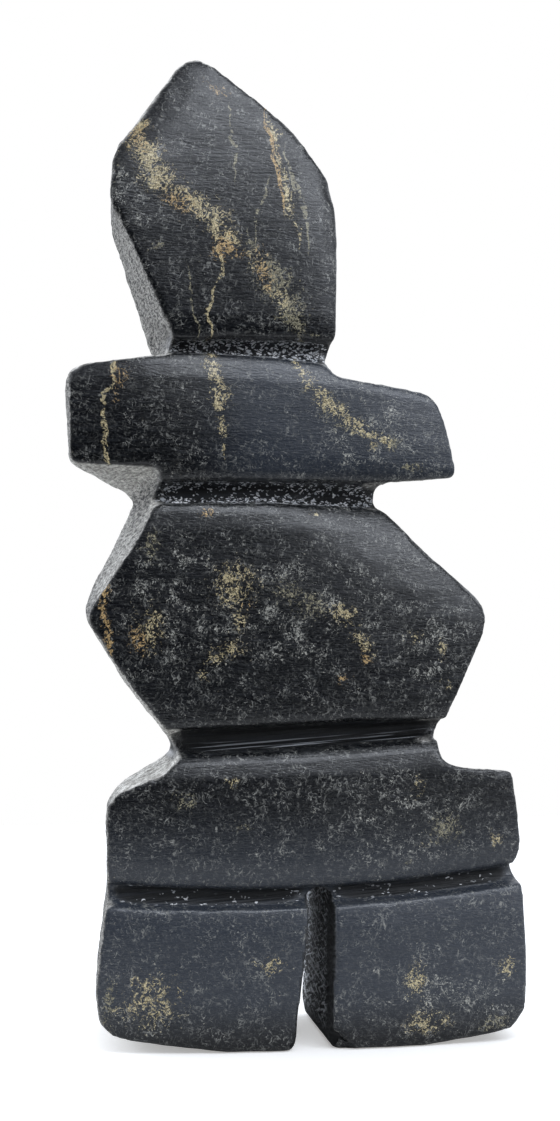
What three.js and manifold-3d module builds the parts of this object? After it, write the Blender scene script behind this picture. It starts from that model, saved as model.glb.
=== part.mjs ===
// A small inukshuk carved by hand from one block of dark stone, standing on its two sawn feet.
// The block was sawn to an outline, filed with four grooves that part it into legs, hips, torso,
// arms and head, slit from below between the legs, and then sanded. It is one solid.
//
// Millimetres, +Z up, -Y is the carved front, +X is the right-hand side as seen from the front.
// The origin is on the ground, under the middle of the object's box.

import * as THREE from "three";
import { mergeVertices } from "three/addons/utils/BufferGeometryUtils.js";
import Module from "manifold-3d";

const wasm = await Module();
wasm.setup();

// Heights up the front, from the ground: each stone of the figure and the groove above it.
const LEG_HEIGHT = 19.0;
const HIP_GROOVE_HEIGHT = 3.2;
const HIP_HEIGHT = 17.0;
const WAIST_GROOVE_HEIGHT = 3.8;
const TORSO_HEIGHT = 28.6;
const CHEST_GROOVE_HEIGHT = 3.4;
const ARM_HEIGHT = 16.1;
const NECK_GROOVE_HEIGHT = 2.6;
const HEAD_HEIGHT = 37.0;

// Width of the whole figure, from the tip of the left arm to the outside of the right leg.
const WIDTH = 61.5;

// How far each stone and each neck reaches to the left and right of the figure's axis,
// and how far to the left of it the head leans.
const LEG_LEFT = 0.426 * WIDTH;
const LEG_RIGHT = 0.522 * WIDTH;
const HIP_LEFT = 0.398 * WIDTH;
const HIP_RIGHT = 0.509 * WIDTH;
const WAIST_LEFT = 0.247 * WIDTH;
const WAIST_RIGHT = 0.32 * WIDTH;
const TORSO_LEFT = 0.444 * WIDTH;
const TORSO_RIGHT = 0.437 * WIDTH;
const CHEST_LEFT = 0.275 * WIDTH;
const CHEST_RIGHT = 0.192 * WIDTH;
const ARM_LEFT = 0.4845 * WIDTH;
const ARM_RIGHT = 0.365 * WIDTH;
const NECK_LEFT = 0.25 * WIDTH;
const NECK_RIGHT = 0.078 * WIDTH;
const HEAD_LEFT = 0.392 * WIDTH;
const HEAD_RIGHT = 0.102 * WIDTH;
const HEAD_LEAN = 0.146 * WIDTH;
const APEX_LEFT = 0.21 * WIDTH;

// Thickness of each stone from front to back, before its edges are worn round.
const LEG_THICKNESS = 25.0;
const HIP_THICKNESS = 24.6;
const TORSO_THICKNESS = 24.2;
const ARM_THICKNESS = 23.6;
const HEAD_THICKNESS = 22.8;

// How deep each groove is filed into the front. The back was filed less deeply.
const HIP_GROOVE_DEPTH = 2.2;
const WAIST_GROOVE_DEPTH = 3.6;
const CHEST_GROOVE_DEPTH = 3.2;
const NECK_GROOVE_DEPTH = 3.0;
const BACK_GROOVE_SHARE = 0.75;

// How far a groove filed by eye strays from level.
const GROOVE_STRAY = 1.4;

// The sawn slit between the legs, wider at the ground than at its blind top end.
const SLIT_WIDTH_LOW = 4.8;
const SLIT_WIDTH_HIGH = 3.0;
const SLIT_LEFT_LOW = 0.2;
const SLIT_LEFT_HIGH = 2.4;
const SLIT_END_ROUND = 1.0;

// Worn corners of the outline, and how far the ends of the soles are lifted off the ground.
const FOOT_ROUND = 3.4;
const BLUNT_ROUND = 2.0;
const CRISP_ROUND = 0.7;
const SOLE_LIFT = 1.2;

// Heights of the lips of the grooves at the figure's axis.
const legTop = LEG_HEIGHT;
const hipBottom = legTop + HIP_GROOVE_HEIGHT;
const hipTop = hipBottom + HIP_HEIGHT;
const torsoBottom = hipTop + WAIST_GROOVE_HEIGHT;
const torsoTop = torsoBottom + TORSO_HEIGHT;
const armBottom = torsoTop + CHEST_GROOVE_HEIGHT;
const armTop = armBottom + ARM_HEIGHT;
const headBottom = armTop + NECK_GROOVE_HEIGHT;
const apex = headBottom + HEAD_HEIGHT;

const mix = (a, b, t) => a + (b - a) * t;

// A corner of the outline on the front face, how round it is worn,
// and where the same corner lies on the back face compared with the front.
const corner = (x, z, round = CRISP_ROUND, back = [0, 0]) => ({ x, z, round, back });

const onTorso = (share) => mix(torsoBottom, torsoTop, share);
const onHead = (share) => mix(headBottom, apex, share);
const onHips = (share) => mix(hipBottom, hipTop, share);
const onArms = (share) => mix(armBottom, armTop, share);

// The outline, anticlockwise from the left foot. The left side was sawn askew: most of it runs
// inwards to the back, and the stone under the left arm hangs lower at the back.
const legOutlineRight = [
  corner(-0.35 * LEG_LEFT, 0, 0),
  corner(0.57 * LEG_RIGHT, 0, 0),
  corner(0.88 * LEG_RIGHT, SOLE_LIFT, BLUNT_ROUND),
  corner(0.99 * LEG_RIGHT, 0.14 * legTop, BLUNT_ROUND, [-0.5, 0]),
  corner(LEG_RIGHT, 0.5 * legTop, FOOT_ROUND, [-0.8, 0]),
  corner(0.98 * LEG_RIGHT, mix(legTop, hipBottom, 0.69), CRISP_ROUND, [-0.8, 0]),
];
const hipOutlineRight = [
  corner(0.967 * HIP_RIGHT, onHips(0.07), CRISP_ROUND, [-0.8, 0]),
  corner(0.996 * HIP_RIGHT, onHips(0.153), CRISP_ROUND, [-0.8, 0]),
  corner(HIP_RIGHT, onHips(0.3), BLUNT_ROUND, [-0.8, 0]),
  corner(0.958 * HIP_RIGHT, onHips(0.84), CRISP_ROUND, [-0.8, -2.4]),
  corner(0.75 * HIP_RIGHT, onHips(0.86), BLUNT_ROUND, [0, -2.4]),
  corner(1.02 * WAIST_RIGHT, onHips(0.91), BLUNT_ROUND, [0, -1.6]),
];
const torsoOutlineRight = [
  corner(WAIST_RIGHT, mix(hipTop, torsoBottom, 0.3)),
  corner(0.86 * TORSO_RIGHT, onTorso(0.17), BLUNT_ROUND),
  corner(0.993 * TORSO_RIGHT, onTorso(0.44), BLUNT_ROUND, [-0.6, 0]),
  corner(0.98 * TORSO_RIGHT, onTorso(0.55), BLUNT_ROUND, [-0.6, 0]),
  corner(0.65 * TORSO_RIGHT, onTorso(0.81), BLUNT_ROUND),
  corner(0.51 * TORSO_RIGHT, onTorso(0.95), BLUNT_ROUND),
  corner(CHEST_RIGHT, onTorso(1.0)),
];
const armOutlineRight = [
  corner(CHEST_RIGHT, onArms(-0.02), BLUNT_ROUND, [0, 0.6]),
  corner(0.99 * ARM_RIGHT, onArms(0.025), CRISP_ROUND, [-0.6, 0.6]),
  corner(ARM_RIGHT, onArms(0.1), CRISP_ROUND, [-0.6, 0]),
  corner(0.94 * ARM_RIGHT, onArms(0.45), BLUNT_ROUND, [-0.6, 0]),
  corner(0.87 * ARM_RIGHT, onArms(0.715), BLUNT_ROUND, [-0.4, 0]),
  corner(1.21 * NECK_RIGHT, onArms(0.85), BLUNT_ROUND),
];
const headOutlineRight = [
  corner(NECK_RIGHT, onArms(0.955)),
  corner(0.97 * HEAD_RIGHT, onHead(0.01), BLUNT_ROUND),
  corner(HEAD_RIGHT, onHead(0.4), FOOT_ROUND),
  corner(0.87 * HEAD_RIGHT, onHead(0.565), BLUNT_ROUND),
  corner(0.02 * HEAD_RIGHT, onHead(0.755), BLUNT_ROUND),
  corner(-APEX_LEFT, 1.01 * apex, FOOT_ROUND),
];
const headOutlineLeft = [
  corner(-0.97 * HEAD_LEFT, onHead(0.67), BLUNT_ROUND, [1.2, 0]),
  corner(-HEAD_LEFT, onHead(0.485), BLUNT_ROUND, [1.9, -1.6]),
  corner(-NECK_LEFT, onHead(-0.01), CRISP_ROUND, [-1.6, 0.3]),
];
const armOutlineLeft = [
  corner(-1.054 * NECK_LEFT, onArms(1.02), CRISP_ROUND, [-1.0, 0]),
  corner(-0.88 * ARM_LEFT, onArms(0.955), CRISP_ROUND, [0.4, 0]),
  corner(-ARM_LEFT, onArms(0.9), CRISP_ROUND, [0.9, 0]),
  corner(-0.983 * ARM_LEFT, onArms(0.78), CRISP_ROUND, [0.7, 0]),
  corner(-0.98 * ARM_LEFT, onArms(0.12), CRISP_ROUND, [1.2, 1.1]),
  corner(-1.024 * CHEST_LEFT, onArms(0.125), CRISP_ROUND, [-3.9, -3.7]),
];
const torsoOutlineLeft = [
  corner(-CHEST_LEFT, onArms(-0.012), CRISP_ROUND, [-2.7, -3.0]),
  corner(-1.077 * CHEST_LEFT, onTorso(1.0), CRISP_ROUND, [-1.7, -1.0]),
  corner(-0.735 * TORSO_LEFT, onTorso(0.85), BLUNT_ROUND, [-1.5, 0]),
  corner(-TORSO_LEFT, onTorso(0.49), BLUNT_ROUND, [1.0, 0.3]),
  corner(-0.77 * TORSO_LEFT, onTorso(0.16), BLUNT_ROUND, [0.5, 0]),
  corner(-WAIST_LEFT, mix(hipTop, torsoBottom, 0.3), BLUNT_ROUND, [1.2, -1.2]),
];
const hipOutlineLeft = [
  corner(-WAIST_LEFT, onHips(0.945), CRISP_ROUND, [1.2, -0.7]),
  corner(-0.71 * HIP_LEFT, onHips(0.825), CRISP_ROUND, [1.4, 0]),
  corner(-0.93 * HIP_LEFT, onHips(0.715), CRISP_ROUND, [1.6, -1.3]),
  corner(-HIP_LEFT, onHips(0.6), CRISP_ROUND, [1.8, -1.8]),
  corner(-HIP_LEFT, onHips(0.006), CRISP_ROUND, [1.8, 0]),
];
const legOutlineLeft = [
  corner(-0.93 * LEG_LEFT, mix(legTop, hipBottom, 0.6), CRISP_ROUND, [1.6, 0]),
  corner(-0.94 * LEG_LEFT, legTop, CRISP_ROUND, [1.8, 0]),
  corner(-LEG_LEFT, 0.33 * legTop, FOOT_ROUND, [1.9, 0]),
  corner(-0.965 * LEG_LEFT, 0.155 * legTop, BLUNT_ROUND, [1.8, 0]),
  corner(-0.8 * LEG_LEFT, 1.3 * SOLE_LIFT, BLUNT_ROUND, [0.8, 0]),
];
const outline = [
  ...legOutlineRight,
  ...hipOutlineRight,
  ...torsoOutlineRight,
  ...armOutlineRight,
  ...headOutlineRight,
  ...headOutlineLeft,
  ...armOutlineLeft,
  ...torsoOutlineLeft,
  ...hipOutlineLeft,
  ...legOutlineLeft,
];

// Rounds each corner with a short curve that starts and ends at most 45% along its two sides.
const CORNER_STEPS = 3;
const SIDE_SHARE = 0.45;
function roundedOutline(corners) {
  const points = [];
  corners.forEach((c, i) => {
    const here = new THREE.Vector2(c.x, c.z);
    if (c.round === 0) {
      points.push(here);
      return;
    }
    const reachTo = (neighbour) => {
      const side = new THREE.Vector2(neighbour.x, neighbour.z).sub(here);
      const reach = Math.min(c.round, SIDE_SHARE * side.length());
      return here.clone().addScaledVector(side.normalize(), reach);
    };
    const before = reachTo(corners[(i + corners.length - 1) % corners.length]);
    const after = reachTo(corners[(i + 1) % corners.length]);
    points.push(...new THREE.QuadraticBezierCurve(before, here, after).getPoints(CORNER_STEPS));
  });
  return points;
}

// Turns lists of vertices and triangles into a solid for cutting and joining.
function solidFrom(geometry) {
  const bare = geometry.clone();
  bare.deleteAttribute("normal");
  bare.deleteAttribute("uv");
  const merged = mergeVertices(bare, 1e-4);
  return new wasm.Manifold(
    new wasm.Mesh({
      numProp: 3,
      vertProperties: merged.attributes.position.array,
      triVerts: new Uint32Array(merged.index.array),
    }),
  );
}

function geometryFrom(positions, triangles) {
  const geometry = new THREE.BufferGeometry();
  geometry.setAttribute("position", new THREE.Float32BufferAttribute(positions, 3));
  geometry.setIndex(triangles);
  return geometry;
}

// The sawn block: saw cuts that run straight from the front outline to the back outline,
// in a few layers so that the twisted cuts stay smooth. It is a little thicker than the figure.
const SAW_LAYERS = 5;
const SAW_MARGIN = 2;
function sawnBlock() {
  const reach = LEG_THICKNESS / 2 + SAW_MARGIN;
  const layers = Array.from({ length: SAW_LAYERS + 1 }, (_, i) => mix(-reach, reach, i / SAW_LAYERS));
  const outlineAt = (y) => {
    const share = y / LEG_THICKNESS + 0.5;
    const moved = (c) => ({ x: c.x + share * c.back[0], z: c.z + share * c.back[1], round: c.round });
    return roundedOutline(outline.map(moved));
  };
  const rings = layers.map(outlineAt);
  const count = rings[0].length;
  const positions = rings.flatMap((ring, k) => ring.flatMap((p) => [p.x, layers[k], p.y]));
  const triangles = [];
  const last = SAW_LAYERS * count;
  for (const [a, b, c] of THREE.ShapeUtils.triangulateShape(rings[0], [])) triangles.push(a, b, c);
  for (const [a, b, c] of THREE.ShapeUtils.triangulateShape(rings[SAW_LAYERS], [])) {
    triangles.push(last + a, last + c, last + b);
  }
  for (let k = 0; k < SAW_LAYERS; k++) {
    for (let i = 0; i < count; i++) {
      const here = k * count + i;
      const next = k * count + ((i + 1) % count);
      triangles.push(next, here, here + count, next, here + count, next + count);
    }
  }
  return solidFrom(geometryFrom(positions, triangles));
}

// A line across the face at a height, from which it strays by a share of the groove's stray
// at the left, on the axis and at the right.
const BEND_REACH = 0.407 * WIDTH;
const bentLine = (height, left, middle, right) => (x) => {
  const t = THREE.MathUtils.clamp(x / BEND_REACH, -1.4, 1.4);
  const bend = middle + ((right - left) / 2) * t + ((right + left) / 2 - middle) * t * t;
  return height + GROOVE_STRAY * bend;
};

// A soft fold in a face: beyond a line through (x, z), the face falls away in the direction of an angle.
const FOLD_SOFTNESS = 2.2;
const fold = (x, z, degrees, slope) => {
  const direction = THREE.MathUtils.degToRad(degrees);
  return (px, pz) => {
    const beyond = (px - x) * Math.cos(direction) + (pz - z) * Math.sin(direction);
    return (slope / 2) * (beyond + Math.hypot(beyond, FOLD_SOFTNESS));
  };
};

// The four grooves, from the ground up: their lower and upper lips.
const grooves = [
  {
    low: bentLine(legTop, 0.15, -0.15, 0.95),
    high: bentLine(hipBottom, 0.2, -0.55, 0.65),
    depth: HIP_GROOVE_DEPTH,
  },
  {
    low: bentLine(hipTop, -0.5, 0, 1.15),
    high: bentLine(torsoBottom, -1, 0.05, 0.2),
    depth: WAIST_GROOVE_DEPTH,
  },
  {
    low: bentLine(torsoTop, -0.15, 0, -1),
    high: bentLine(armBottom, -0.3, 0, -0.8),
    depth: CHEST_GROOVE_DEPTH,
  },
  {
    low: bentLine(armTop, 0.45, -0.3, -2.85),
    high: bentLine(headBottom, -0.85, 0, -1.8),
    depth: NECK_GROOVE_DEPTH,
  },
];

// How far the wear on a stone's edges runs in from its lips, and how deep it is at a crisp edge.
const WEAR_REACH = 3.0;
const WEAR_DEPTH = 0.5;

// The five stones, from the ground up: where each bulges most, how much it curves from side to side,
// at which share of its height it is fullest and how much it swells there, how deep its lower and
// upper edges are worn, and the flat facets filed on it.
const stones = [
  {
    thickness: LEG_THICKNESS,
    middle: 2,
    crown: 0.0028,
    fullest: 0.6,
    swell: 0.0015,
    wearLow: 1.4 * WEAR_DEPTH,
    wearHigh: WEAR_DEPTH,
    folds: [],
  },
  {
    thickness: HIP_THICKNESS,
    middle: 2,
    crown: 0.0028,
    fullest: 0.9,
    swell: 0.003,
    wearLow: 1.4 * WEAR_DEPTH,
    wearHigh: 3 * WEAR_DEPTH,
    folds: [],
  },
  {
    thickness: TORSO_THICKNESS,
    middle: -2,
    crown: 0.003,
    fullest: 0.65,
    swell: 0.0025,
    wearLow: 0.6 * WEAR_DEPTH,
    wearHigh: 1.2 * WEAR_DEPTH,
    folds: [fold(0.23 * TORSO_RIGHT, onTorso(0.82), 62, 0.34)],
  },
  {
    thickness: ARM_THICKNESS,
    middle: -4,
    crown: 0.002,
    fullest: 0.45,
    swell: 0.009,
    wearLow: WEAR_DEPTH,
    wearHigh: 1.6 * WEAR_DEPTH,
    folds: [fold(-0.62 * ARM_LEFT, onArms(0.5), 185, 0.13), fold(0.5 * ARM_RIGHT, onArms(0.5), 10, 0.12)],
  },
  {
    thickness: HEAD_THICKNESS,
    middle: -HEAD_LEAN,
    crown: 0.003,
    fullest: 0.25,
    swell: 0.0045,
    wearLow: WEAR_DEPTH,
    wearHigh: 0,
    folds: [
      fold(-0.86 * HEAD_LEFT, onHead(0.62), 141, 0.3),
      fold(0.45 * HEAD_RIGHT, onHead(0.5), 8, 0.4),
      fold(0, onHead(0.74), 48, 0.22),
    ],
  },
];

// How far the face of a stone stands out from the middle plane, at a height between its two lips.
function stoneDepth(stone, x, z, low, high) {
  const worn = (depth, distance) => depth * Math.max(0, 1 - distance / WEAR_REACH) ** 2;
  const wear = worn(stone.wearLow, z - low) + worn(stone.wearHigh, high - z);
  const crown = stone.crown * (x - stone.middle) ** 2;
  const swell = stone.swell * (z - mix(low, Math.min(high, apex), stone.fullest)) ** 2;
  const drop = stone.folds.reduce((sum, f) => sum + f(x, z), 0);
  return stone.thickness / 2 - wear - crown - swell - drop;
}

// Shares of a stone's height at which its face has rows of points: close together at its lips.
const ROW_SPACING = 4.2;
const GROOVE_STEPS = [0.1, 0.32, 0.68, 0.9];
function rowShares(height) {
  const lip = [0, WEAR_REACH / 3, WEAR_REACH].map((distance) => distance / height);
  const inner = Math.ceil((height - 2 * WEAR_REACH) / ROW_SPACING);
  const between = Array.from({ length: inner - 1 }, (_, i) => mix(lip[2], 1 - lip[2], (i + 1) / inner));
  return [...lip, ...between, ...lip.map((share) => 1 - share).reverse()];
}

// The rows of points up the dressed face. Each row gives its height and its depth at x,
// for the front (side 1) or the back (side -1, which was worked flatter).
const BACK_WORK_SHARE = 0.6;
const UNDER_GROUND = -4;
const OVER_APEX = 6;
function faceRows() {
  const rows = [];
  const lowLips = [() => UNDER_GROUND, ...grooves.map((g) => g.high)];
  const highLips = [...grooves.map((g) => g.low), () => apex + OVER_APEX];
  const depthOf = (i, x, z, side) => {
    const worked = stones[i].thickness / 2 - stoneDepth(stones[i], x, z, lowLips[i](x), highLips[i](x));
    return stones[i].thickness / 2 - worked * (side > 0 ? 1 : BACK_WORK_SHARE);
  };
  stones.forEach((stone, i) => {
    for (const share of rowShares(highLips[i](0) - lowLips[i](0))) {
      const height = (x) => mix(lowLips[i](x), highLips[i](x), share);
      rows.push({ inGroove: false, height, depth: (x, side) => depthOf(i, x, height(x), side) });
    }
    if (i === grooves.length) return;
    const groove = grooves[i];
    for (const step of GROOVE_STEPS) {
      const round = Math.sqrt(1 - (2 * step - 1) ** 2);
      rows.push({
        inGroove: true,
        height: (x) => mix(groove.low(x), groove.high(x), step),
        depth: (x, side) => {
          const below = depthOf(i, x, groove.low(x), side);
          const above = depthOf(i + 1, x, groove.high(x), side);
          return mix(below, above, step) - groove.depth * round * (side > 0 ? 1 : BACK_GROOVE_SHARE);
        },
      });
    }
  });
  return rows;
}

// A slab with the dressed front and back, wider than the figure all round.
const COLUMNS = 24;
const SLAB_MARGIN = 4;
function dressedSlab() {
  const rows = faceRows();
  const left = -Math.max(LEG_LEFT, ARM_LEFT, TORSO_LEFT, HIP_LEFT, HEAD_LEFT) - SLAB_MARGIN;
  const right = Math.max(LEG_RIGHT, ARM_RIGHT, TORSO_RIGHT, HIP_RIGHT, HEAD_RIGHT) + SLAB_MARGIN;
  const xs = Array.from({ length: COLUMNS + 1 }, (_, i) => mix(left, right, i / COLUMNS));
  const positions = [1, -1].flatMap((side) =>
    rows.flatMap((row) => xs.flatMap((x) => [x, -side * row.depth(x, side), row.height(x)])),
  );
  const across = xs.length;
  const front = (r, c) => r * across + c;
  const back = (r, c) => rows.length * across + front(r, c);
  const triangles = [];
  const quad = (a, b, c, d) => triangles.push(a, b, c, a, c, d);
  for (let r = 0; r + 1 < rows.length; r++) {
    for (let c = 0; c < COLUMNS; c++) {
      const f = [front(r, c), front(r, c + 1), front(r + 1, c + 1), front(r + 1, c)];
      const b = [back(r, c + 1), back(r, c), back(r + 1, c), back(r + 1, c + 1)];
      const turn = xs[c] < 0 || rows[r].inGroove || rows[r + 1].inGroove ? 0 : 1;
      quad(...f.slice(turn), ...f.slice(0, turn));
      quad(...b.slice(1 - turn), ...b.slice(0, 1 - turn));
    }
    quad(back(r, 0), front(r, 0), front(r + 1, 0), back(r + 1, 0));
    quad(front(r, COLUMNS), back(r, COLUMNS), back(r + 1, COLUMNS), front(r + 1, COLUMNS));
  }
  const top = rows.length - 1;
  for (let c = 0; c < COLUMNS; c++) {
    quad(back(0, c), back(0, c + 1), front(0, c + 1), front(0, c));
    quad(front(top, c), front(top, c + 1), back(top, c + 1), back(top, c));
  }
  return solidFrom(geometryFrom(positions, triangles));
}

// What the saw took out between the legs, from below the ground up into the hip groove.
function slitCutter() {
  const topZ = mix(legTop, hipBottom, 0.7);
  const left = (z) => mix(SLIT_LEFT_LOW, SLIT_LEFT_HIGH, z / topZ);
  const right = (z) => left(z) + mix(SLIT_WIDTH_LOW, SLIT_WIDTH_HIGH, z / topZ);
  const shape = new THREE.Shape();
  shape.moveTo(left(UNDER_GROUND), UNDER_GROUND);
  shape.lineTo(right(UNDER_GROUND), UNDER_GROUND);
  const archZ = topZ - SLIT_END_ROUND;
  shape.lineTo(right(archZ), archZ);
  shape.quadraticCurveTo((left(topZ) + right(topZ)) / 2, topZ + SLIT_END_ROUND, left(archZ), archZ);
  const length = LEG_THICKNESS + 2 * SAW_MARGIN;
  const cutter = new THREE.ExtrudeGeometry(shape, { depth: length, bevelEnabled: false, curveSegments: 4 });
  cutter.translate(0, 0, -length / 2);
  cutter.rotateX(Math.PI / 2);
  return solidFrom(cutter);
}

function carving() {
  const stone = sawnBlock().intersect(dressedSlab()).subtract(slitCutter());
  const made = stone.getMesh();
  return geometryFrom(Array.from(made.vertProperties), Array.from(made.triVerts));
}

const darkStone = new THREE.MeshStandardMaterial({
  color: 0x2a2b2e,
  roughness: 0.48,
  metalness: 0,
});
const inukshuk = new THREE.Mesh(carving(), darkStone);
inukshuk.name = "inukshuk";

// Stands the carving on the ground, with the origin under the middle of its box.
inukshuk.geometry.computeBoundingBox();
const { min, max } = inukshuk.geometry.boundingBox;
inukshuk.position.set(-(min.x + max.x) / 2, -(min.y + max.y) / 2, -min.z);

const group = new THREE.Group();
group.add(inukshuk);

export default group;
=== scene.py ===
# %% [markdown]
# # A small carved inukshuk
# The object is a hand-sized figure of stacked stones, cut from a single block of dark veined stone.
# It is about 131 mm tall. The solid that is loaded here already has its true outline, its four filed
# grooves and its sawn slit. This file gives it worn edges, tool marks, veins and the finish of real stone.
# All lengths are in metres, because Blender and the loaded solid both count in metres. A length that is
# said to be in mm is turned to metres where it is used.

import math

import bpy
import numpy as np
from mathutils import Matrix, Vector, noise


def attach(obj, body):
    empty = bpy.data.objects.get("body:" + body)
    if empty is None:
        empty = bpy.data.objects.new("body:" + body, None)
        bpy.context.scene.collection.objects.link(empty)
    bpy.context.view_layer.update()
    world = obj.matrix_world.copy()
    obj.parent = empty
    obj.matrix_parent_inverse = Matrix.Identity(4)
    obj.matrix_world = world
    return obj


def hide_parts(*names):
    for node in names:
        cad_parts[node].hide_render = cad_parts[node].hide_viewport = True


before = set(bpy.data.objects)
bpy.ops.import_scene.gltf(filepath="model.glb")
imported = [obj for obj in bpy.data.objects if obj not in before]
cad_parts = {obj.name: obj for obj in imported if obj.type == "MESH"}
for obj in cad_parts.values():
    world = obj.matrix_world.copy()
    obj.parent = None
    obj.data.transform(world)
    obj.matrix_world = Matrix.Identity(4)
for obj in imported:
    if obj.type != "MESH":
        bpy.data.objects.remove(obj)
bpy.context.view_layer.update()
MM = 0.001
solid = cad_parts["inukshuk"]

# %% [markdown]
# ## The camera
# The photograph was taken close up, level, at half the figure's height and a little to its left.
# Seen from there the left sides of the stones show as narrow strips. The camera could be aimed with a
# constraint, but three typed numbers and one turn are easier to check against the photograph.

# %% Place the camera
PHOTO_WIDE, PHOTO_HIGH = 560, 1121
PIXELS_PER_LENS = 2200
CAMERA_TURN = math.radians(8.4)
CLIP_START = 10 * MM
camera_place = Vector((-45.1 * MM, -296.9 * MM, 64.4 * MM))

lens = bpy.data.cameras.new("camera")
lens.sensor_width = 36
lens.lens = lens.sensor_width * PIXELS_PER_LENS / PHOTO_HIGH
lens.clip_start = CLIP_START
camera = bpy.data.objects.new("camera", lens)
camera.location = camera_place
camera.rotation_euler = (math.radians(90), 0, -CAMERA_TURN)
bpy.context.scene.collection.objects.link(camera)
bpy.context.scene.camera = camera
print("lens, mm:", round(lens.lens, 2))

# %% [markdown]
# ## From a point in the photograph to a place on the stone
# Veins and patches are noted where they lie in the photograph, counted in its pixels. A line from the
# camera through such a point meets the front of the figure at one place, and that place is what is used.
# One pixel is 0.131 mm at the front of the stone, which turns noted sizes to lengths.

# %% Find the place on the front face under a point of the photograph
FRONT = -12.3 * MM
PIXEL = 0.131 * MM


def on_front(across, down, depth=FRONT):
    """The x and z, in metres, where the line through a point of the photograph meets a plane facing front."""
    side = (across - PHOTO_WIDE / 2) / PIXELS_PER_LENS
    rise = (PHOTO_HIGH / 2 - down) / PIXELS_PER_LENS
    forward = Vector((math.sin(CAMERA_TURN), math.cos(CAMERA_TURN)))
    right = Vector((math.cos(CAMERA_TURN), -math.sin(CAMERA_TURN)))
    line = forward + side * right
    reach = (depth - camera_place.y) / line.y
    return camera_place.x + reach * line.x, camera_place.z + reach * rise


print("the head's tip, mm:", [round(v / MM, 1) for v in on_front(193, 58)])

# %% [markdown]
# ## Helpers for nodes and colours
# Every finish is a chain of nodes. One small function adds a node, sets its properties and feeds its
# inputs, so that each line below reads as one step of the finish. Colours are written in sRGB hex, as
# paint programs show them, and a second function turns them to the linear light that shaders count in.

# %% Write the helpers


def add_node(tree, kind, feeds=(), **settings):
    """Adds a node. An input is fed a value, another node's first output, or a named output of one."""
    made = tree.nodes.new("ShaderNode" + kind)
    for name, value in settings.items():
        setattr(made, name, value)
    for socket, value in dict(feeds).items():
        if isinstance(value, bpy.types.Node):
            value = value.outputs[0]
        if isinstance(value, bpy.types.NodeSocket):
            tree.links.new(value, made.inputs[socket])
        else:
            made.inputs[socket].default_value = value
    return made


def from_hex(text):
    """An sRGB colour as red, green, blue and alpha in linear light."""
    parts = [int(text[i:i + 2], 16) / 255 for i in (1, 3, 5)]
    return tuple(c / 12.92 if c <= 0.04045 else ((c + 0.055) / 1.055) ** 2.4 for c in parts) + (1.0,)


print("middle grey in linear light:", round(from_hex("#808080")[0], 3))

# %% [markdown]
# ## The floor: white paper, matt
# The photograph has a pure white ground that runs into a white background. A sheet of matt white paper
# makes it. Its pressed fibres scatter light evenly, so it has no gloss to mirror the figure. The camera sees
# it whiter than the stone does, as when the ground of a photograph is whitened afterwards.

# %% Lay the pale floor
FLOOR_SIDE, FLOOR_FRONT, FLOOR_BACK = 0.20, 0.10, 0.24
PAPER, WHITENED, LIFTED = from_hex("#d1d0cd"), from_hex("#fffefc"), 0.36
# Uncoated paper is about 0.9 rough and mirrors less than most surfaces.
PAPER_ROUGH, PAPER_SHEEN = 0.9, 0.2

sheet = bpy.data.meshes.new("floor")
corners = [(-FLOOR_SIDE, -FLOOR_FRONT, 0), (FLOOR_SIDE, -FLOOR_FRONT, 0),
           (FLOOR_SIDE, FLOOR_BACK, 0), (-FLOOR_SIDE, FLOOR_BACK, 0)]
sheet.from_pydata(corners, [], [(0, 1, 2, 3)])
floor = bpy.data.objects.new("floor", sheet)
bpy.context.scene.collection.objects.link(floor)
paper = bpy.data.materials.new("white_paper_matt")
paper.use_nodes = True
paper_shader = paper.node_tree.nodes["Principled BSDF"]
paper_shader.inputs["Roughness"].default_value = PAPER_ROUGH
paper_shader.inputs["Specular IOR Level"].default_value = PAPER_SHEEN
to_camera = add_node(paper.node_tree, "LightPath").outputs["Is Camera Ray"]
seen_paper = add_node(paper.node_tree, "Mix", {0: to_camera, 6: PAPER, 7: WHITENED}, data_type="RGBA")
paper.node_tree.links.new(seen_paper.outputs[2], paper_shader.inputs["Base Color"])
paper_shader.inputs["Emission Color"].default_value = WHITENED
lifted = add_node(paper.node_tree, "Math", {0: to_camera, 1: LIFTED}, operation="MULTIPLY")
paper.node_tree.links.new(lifted.outputs[0], paper_shader.inputs["Emission Strength"])
sheet.materials.append(paper)
print("floor reaches, m:", FLOOR_SIDE, FLOOR_FRONT, FLOOR_BACK)

# %% [markdown]
# ## The light: a tent and three softboxes
# The photograph's light is soft and comes from above. It is that of a tent: bright above, behind and at
# the sides, and dim in front, where the camera stands. Polished stone shows its shape by what it mirrors, so
# the dim front is what keeps it black. A white sky shaded by its own direction does this without walls to
# build. Three softboxes give the highlights an edge. Lamps alone would leave the stone flat.

# %% Shape the brightness of the tent in front
# Heights and sides are parts of a unit direction: 0 is level or straight ahead, 1 straight up or sideways.
DARK_FRONT, BAND, OVERHEAD = 0.02, 0.88, 0.35
BAND_TILT, BAND_START, BAND_END = 0.42, (0.11, 0.25), (0.26, 0.40)
RIGHT_SHARE, RIGHT_REACH = 1.6, 0.6

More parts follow.
